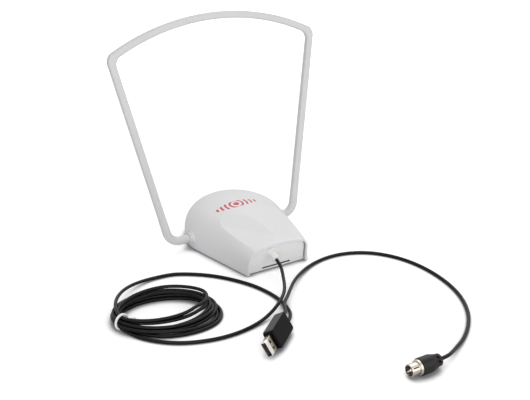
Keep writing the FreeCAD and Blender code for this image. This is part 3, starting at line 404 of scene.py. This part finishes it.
bpy.ops.transform.resize(value=(1, 1, TIE_HALF_H / TIE_HALF_W), center_override=(0, 0, 0))
twist_from = (TIE_HALF_W - TIE_WIRE_R, 0, -TWIST_DROP)
for side in (1, -1):
    bpy.ops.mesh.primitive_circle_add(vertices=TIE_WIRE_SIDES, radius=TIE_WIRE_R, fill_type="NGON",
                                      location=(twist_from[0], side * TIE_WIRE_R, twist_from[2]),
                                      rotation=(0, math.pi / 2, 0))
    for step in range(TWIST_STEPS):
        bpy.ops.mesh.extrude_region_move(TRANSFORM_OT_translate={"value": (TWIST_STEP, 0, 0)})
        bpy.ops.transform.rotate(value=TWIST_TURN, orient_axis="X", center_override=twist_from)
bpy.ops.mesh.select_all(action="SELECT")
bpy.ops.mesh.normals_make_consistent(inside=False)
bpy.ops.transform.rotate(value=-TIE_TURNED, orient_axis="Z", center_override=(0, 0, 0))
bpy.ops.transform.translate(value=TIE_AT)
bpy.ops.object.mode_set(mode="OBJECT")
bpy.ops.object.shade_smooth_by_angle(angle=TIE_SMOOTH)
hank_tie.data.materials.append(tie_white)
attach(hank_tie, "base")
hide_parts("coil_tie")

# Feed block: two halves of black ABS clipped round a small board, with a folded tube of nickelled
# steel in front, a tongue and four gilt contacts inside it. One narrow side of the case is painted
# grey, a painted sheen where the light catches it. The tube is painted dark where it leaves the case,
# as painted shade and a painted reflection of the black case, and near white at its mouth as a
# painted highlight. The tongue's front part is painted near black, as painted shade inside the mouth.

USB_AHEAD = (-0.766, -0.643, 0.0)
USB_SIDE = (-0.331, 0.3945, 0.857)
USB_CASE_FRONT, USB_MOUTH = 170.8 * MM, 182.7 * MM
USB_SIDE_FACE = -32.0 * MM


def reach(place, way):
    """Distance of each point of the piece along a direction."""
    return place.node("ShaderNodeVectorMath", {"operation": "DOT_PRODUCT"}, {0: place, 1: way},
                      output="Value")


def ramp(value, low, high):
    """Soft step from 0 at low to 1 at high."""
    return value.node("ShaderNodeMapRange", {"interpolation_type": "SMOOTHSTEP"},
                      {"Value": value, "From Min": low, "From Max": high})


# Painted sheen: one narrow side of the case is painted grey where the lamps would catch it.
CASE_SIDE_PAINTED_SHEEN = paint(88, 87, 88)
SHEEN_FROM, SHEEN_FULL = USB_SIDE_FACE - 0.9 * MM, USB_SIDE_FACE - 0.1 * MM
usb_black = moulded("usb_black", colour=paint(12, 11, 12), shade=paint(9, 8, 9),
                    rough=0.42, grain=0.45 * MM, depth=0.03 * MM, shine=0.08)
shader, bare, place = reopen(usb_black)
sheen_side = ramp(reach(place, USB_SIDE), SHEEN_FROM, SHEEN_FULL)
blend(sheen_side, bare, CASE_SIDE_PAINTED_SHEEN).feed(shader, "Base Color")
dress(usb_black, "usb_case_upper", "usb_case_lower")

# Painted shade and a painted reflection of the black case darken the tube where it leaves the case; a
# painted highlight makes it near white at its mouth.
TUBE_PAINTED_SHADE, TUBE_PAINTED_HIGHLIGHT = paint(92, 82, 70), paint(252, 249, 246)
TUBE_SHADE_FROM, TUBE_SHADE_TO = USB_CASE_FRONT + 0.5 * MM, USB_CASE_FRONT + 5.5 * MM
HIGHLIGHT_FROM, HIGHLIGHT_FULL = USB_MOUTH - 5 * MM, USB_MOUTH - 3.4 * MM
usb_nickel = metal("usb_nickel", colour=paint(176, 164, 150), tarnish=paint(158, 146, 132), rough=0.22)
shader, bare, place = reopen(usb_nickel)
ahead = reach(place, USB_AHEAD)
shaded_tube = blend(ramp(ahead, TUBE_SHADE_FROM, TUBE_SHADE_TO), TUBE_PAINTED_SHADE, bare)
blend(ramp(ahead, HIGHLIGHT_FROM, HIGHLIGHT_FULL), shaded_tube, TUBE_PAINTED_HIGHLIGHT).feed(shader, "Base Color")
dress(usb_nickel, "usb_shell")

# Painted shade: the tongue's front part, inside the tube's mouth, is painted near black.
TONGUE_PAINTED_SHADE = paint(18, 18, 18)
TONGUE_SHADE_FROM = USB_MOUTH - 4.4 * MM
usb_tongue = moulded("usb_tongue_white", colour=paint(236, 234, 230), shade=paint(226, 224, 220),
                     rough=0.5, grain=0.4 * MM, depth=0.02 * MM)
shader, bare, place = reopen(usb_tongue)
blend(reach(place, USB_AHEAD) > TONGUE_SHADE_FROM, bare, TONGUE_PAINTED_SHADE).feed(shader, "Base Color")
dress(usb_tongue, "usb_tongue")
usb_gold = metal("usb_gold", colour=paint(226, 190, 110), tarnish=paint(204, 164, 84), rough=0.22)
dress(usb_gold, "usb_contacts")
metres(LEAD_ROUTE[0])

# Receiver lead and plug: the same cable from the feed block, in one wide loop on the table, to a
# moulded coaxial plug with a slit nickel sleeve round its insulator and pin.

TV_ROUTE = [(-48.6, -160.7, 11.8), (-42.9, -155.9, 11.8), (-39.4, -149.4, 11.3), (-36.0, -143.1, 10.4),
            (-31.1, -136.7, 9.2), (-24.8, -130.0, 7.8), (-16.0, -120.0, 6.4), (-3.1, -106.1, 4.6),
            (13.1, -93.3, 2.6), (30.3, -84.3, 1.6), (49.9, -80.5, 1.5), (69.1, -83.3, 1.5),
            (86.4, -92.6, 1.5), (99.4, -107.8, 1.5), (107.6, -126.2, 1.5), (111.1, -146.4, 1.5),
            (110.8, -167.3, 1.5), (107.0, -187.5, 1.5), (99.5, -205.3, 1.5), (89.0, -221.1, 1.5),
            (74.8, -234.9, 1.5), (60.7, -244.6, 1.7), (48.6, -250.9, 3.0), (39.6, -256.1, 4.8),
            (30.9, -260.3, 6.7), (23.4, -260.3, 6.7)]
receiver_lead = make_cable("receiver_lead", TV_ROUTE, cable_black)
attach(receiver_lead, "base")
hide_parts("tv_lead")
plug_black = moulded("plug_black", colour=paint(30, 24, 27), shade=paint(22, 19, 21),
                     rough=0.4, grain=0.4 * MM, depth=0.02 * MM, shine=0.24)
dress(plug_black, "tv_plug_body")
plug_nickel = metal("plug_nickel", colour=paint(214, 209, 200), tarnish=paint(190, 182, 170), rough=0.2)
dress(plug_nickel, "tv_plug_sleeve", "tv_plug_pin")
plug_insulator = moulded("plug_insulator", colour=paint(120, 92, 70), shade=paint(100, 76, 58),
                         rough=0.5, grain=0.4 * MM, depth=0.02 * MM)
dress(plug_insulator, "tv_plug_insulator")
metres(TV_ROUTE[0])

# Table and light: a wide white sweep in a pale room, under a soft light from behind on the right
# and two more in front. The sweep glows to the camera alone. Where the part stands close, its glow
# fades and its colour is painted grey: a painted contact shadow.

TABLE_SIZE = 6.0
# Painted contact shadow: near the part the sweep is painted grey and glows less.
SWEEP_WHITE, PAINTED_CONTACT_SHADOW = paint(240, 240, 240), paint(176, 175, 178)
SWEEP_ROUGH = 0.8
SWEEP_GLOW = 0.42
NEAR_EDGE, FAR_EDGE = 0.35, 1.1
CONTACT_REACH, CONTACT_SAMPLES = 9 * MM, 16
COVERED, OPEN = 0.40, 0.90
bpy.ops.object.select_all(action="DESELECT")
bpy.ops.mesh.primitive_plane_add(size=TABLE_SIZE, location=(0, 0, 0))
table = bpy.context.object
table.name = "table"
white_sweep, shader, place = new_finish("white_sweep")
shader.inputs["Roughness"].default_value = SWEEP_ROUGH
shader.inputs["Specular IOR Level"].default_value = 0.0
shader.inputs["Emission Strength"].default_value = 1.0
around = place.node("ShaderNodeAmbientOcclusion", {"samples": CONTACT_SAMPLES},
                    {"Distance": CONTACT_REACH}, output="AO")
clear = ramp(around, COVERED, OPEN)
blend(clear, PAINTED_CONTACT_SHADOW, SWEEP_WHITE).feed(shader, "Base Color")
seen = place.node("ShaderNodeLightPath", output="Is Camera Ray")
away = place.node("ShaderNodeVectorMath", {"operation": "LENGTH"}, {0: place}, output="Value")
glow = SWEEP_GLOW + (1 - SWEEP_GLOW) * ramp(away, NEAR_EDGE, FAR_EDGE)
(glow * seen * clear).feed(shader, "Emission Color")
table.data.materials.append(white_sweep)

ROOM_LIGHT = 0.48
world = bpy.data.worlds.new("pale_room")
bpy.context.scene.world = world
world.use_nodes = True
room = world.node_tree.nodes["Background"]
room.inputs["Color"].default_value = (1, 1, 1, 1)
paths = Wire(world.node_tree).node("ShaderNodeLightPath").socket.node
straight = Wire(world.node_tree, paths.outputs["Is Camera Ray"])
for ray in ("Is Glossy Ray", "Is Transmission Ray"):
    straight = straight.maths("MAXIMUM", straight, Wire(world.node_tree, paths.outputs[ray]))
(ROOM_LIGHT + (1 - ROOM_LIGHT) * straight).feed(room, "Strength")

LAMP_AIM = Vector((0, -0.06, 0.03))
LAMP_WIDTH = 1.4


def softbox(name, place, watts):
    """Square area lamp at place, facing the part."""
    lamp = bpy.data.lights.new(name, "AREA")
    lamp.size = LAMP_WIDTH
    lamp.energy = watts
    light = bpy.data.objects.new(name, lamp)
    bpy.context.scene.collection.objects.link(light)
    light.location = place
    light.rotation_euler = (LAMP_AIM - Vector(place)).to_track_quat("-Z", "Y").to_euler()


softbox("key", place=(0.75, 0.75, 1.3), watts=9.6)
softbox("left_fill", place=(-0.8, -1.35, 0.6), watts=9.4)
softbox("right_fill", place=(0.7, -1.35, 0.6), watts=5.8)

# Camera: stands to the left of the front and looks a little down, as in a catalogue view. Its lens
# is slightly long, so that near and far parts keep their proportions.

FOCAL_LENGTH, SENSOR_WIDTH = 59.09, 36
SHIFT_ACROSS, SHIFT_UP = -0.0009, 0.0033
CAMERA_AT = (-0.3540, -0.6484, 0.3705)
CAMERA_DOWN, CAMERA_ROUND = 24.38, -30.74
lens = bpy.data.cameras.new("catalogue_view")
lens.lens = FOCAL_LENGTH
lens.sensor_width = SENSOR_WIDTH
lens.sensor_fit = "HORIZONTAL"
lens.shift_x = SHIFT_ACROSS
lens.shift_y = SHIFT_UP
camera = bpy.data.objects.new("catalogue_view", lens)
bpy.context.scene.collection.objects.link(camera)
camera.location = CAMERA_AT
camera.rotation_euler = (math.radians(90 - CAMERA_DOWN), 0, math.radians(CAMERA_ROUND))
bpy.context.scene.camera = camera
bpy.context.scene.view_settings.view_transform = "Standard"
